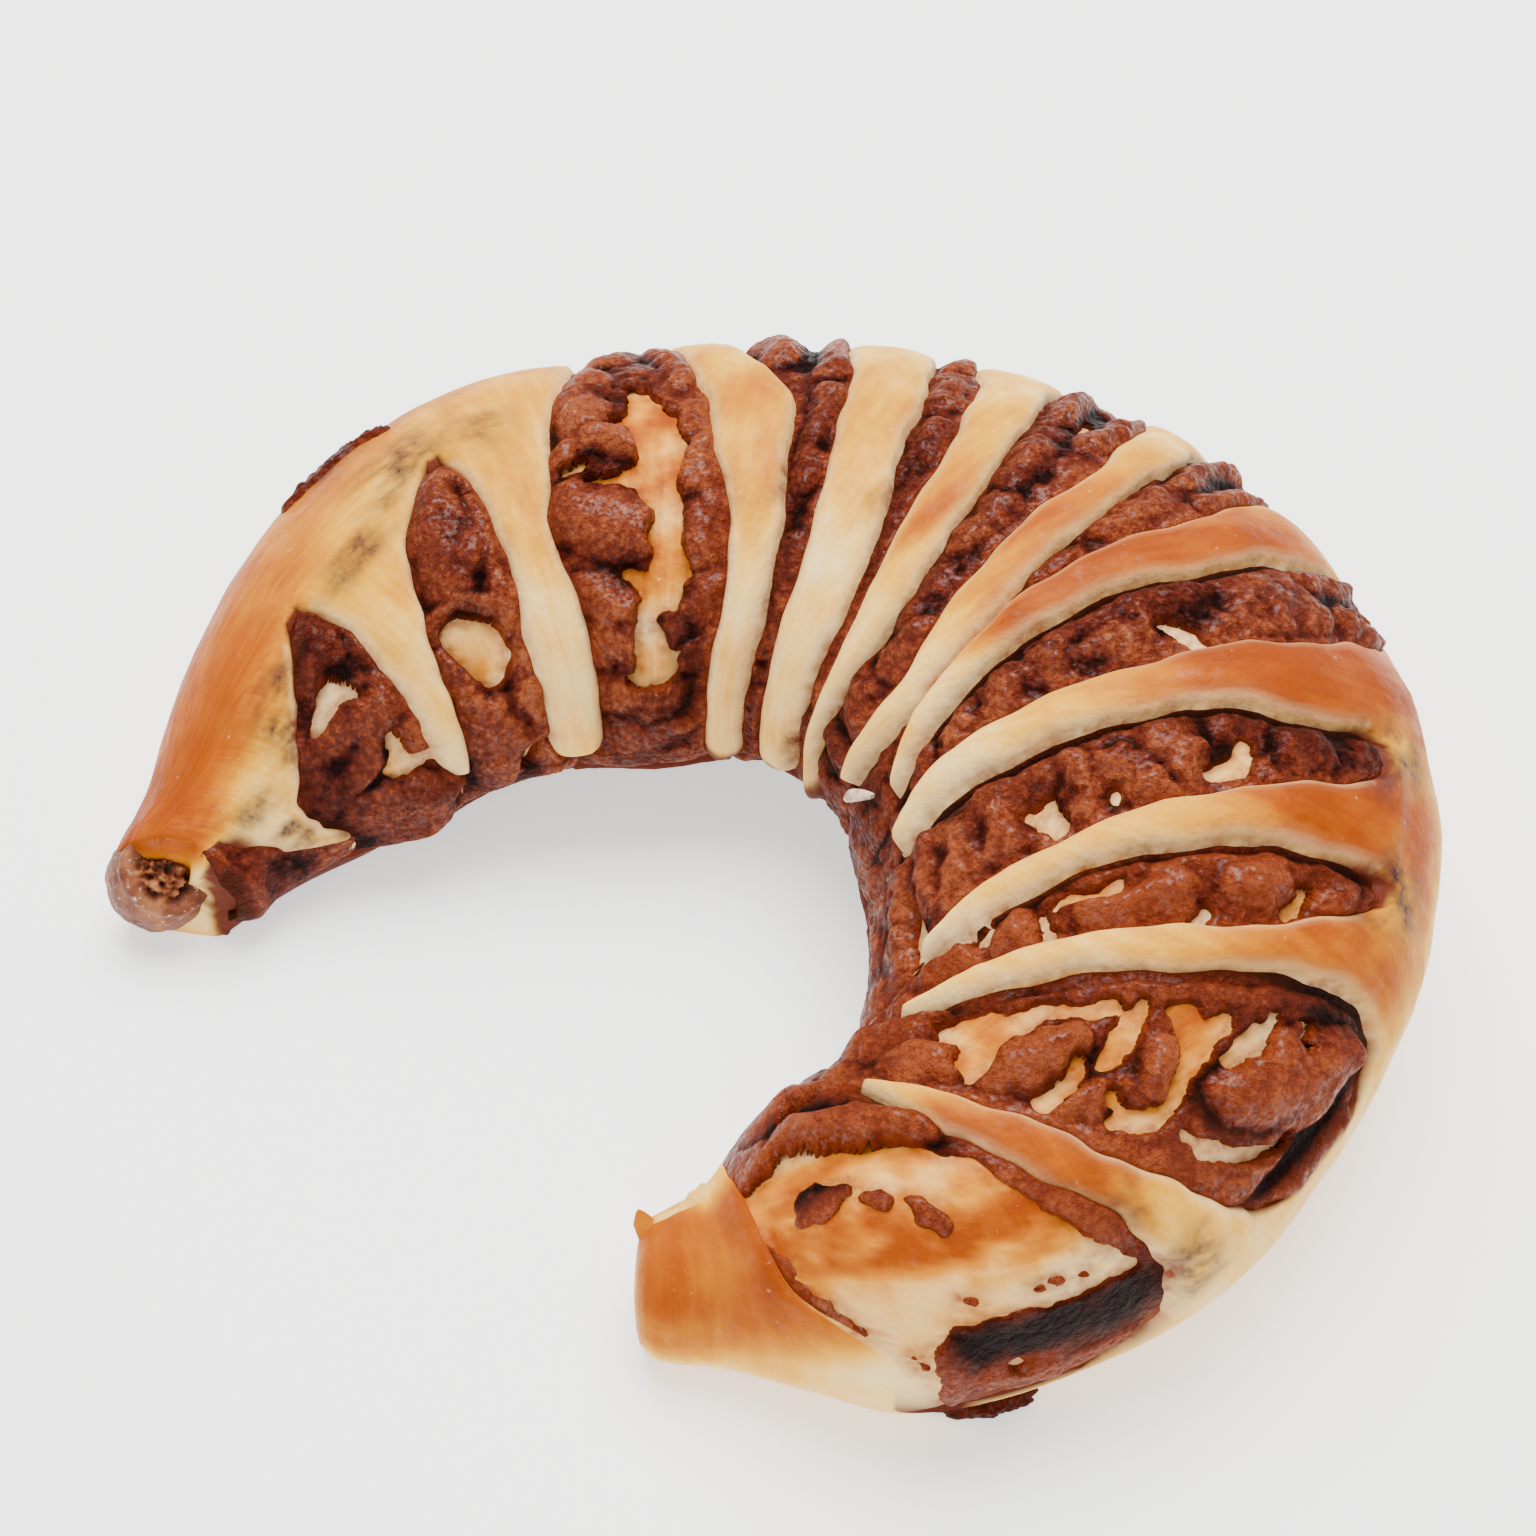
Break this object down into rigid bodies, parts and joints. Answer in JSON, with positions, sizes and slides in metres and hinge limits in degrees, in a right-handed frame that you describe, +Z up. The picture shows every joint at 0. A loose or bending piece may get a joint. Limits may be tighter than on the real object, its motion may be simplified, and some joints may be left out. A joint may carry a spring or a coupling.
{
  "type": "red bean bun",
  "caption": "Soft baked roll bent into an open ring, its outer turn slit into slanted golden strips that gape over the dark sweet bean filling between them.",
  "frame": {"origin": "middle of the bounding box, on the plane the bun rests on", "axes": "+Z up; the camera looked from -Y, so +X is to the right in the picture and +Y to the back; the ring's opening faces -X and -Y"},
  "size_m": [0.1529, 0.1428, 0.0467],
  "materials": {
    "dough": "baked milk dough, cream to golden brown, faint sheen",
    "bean_paste": "moist craggy bean paste, dark reddish brown"
  },
  "bodies": {
    "root": {"dough": "dough", "bean_paste": "bean_paste"}
  },
  "joints": []
}
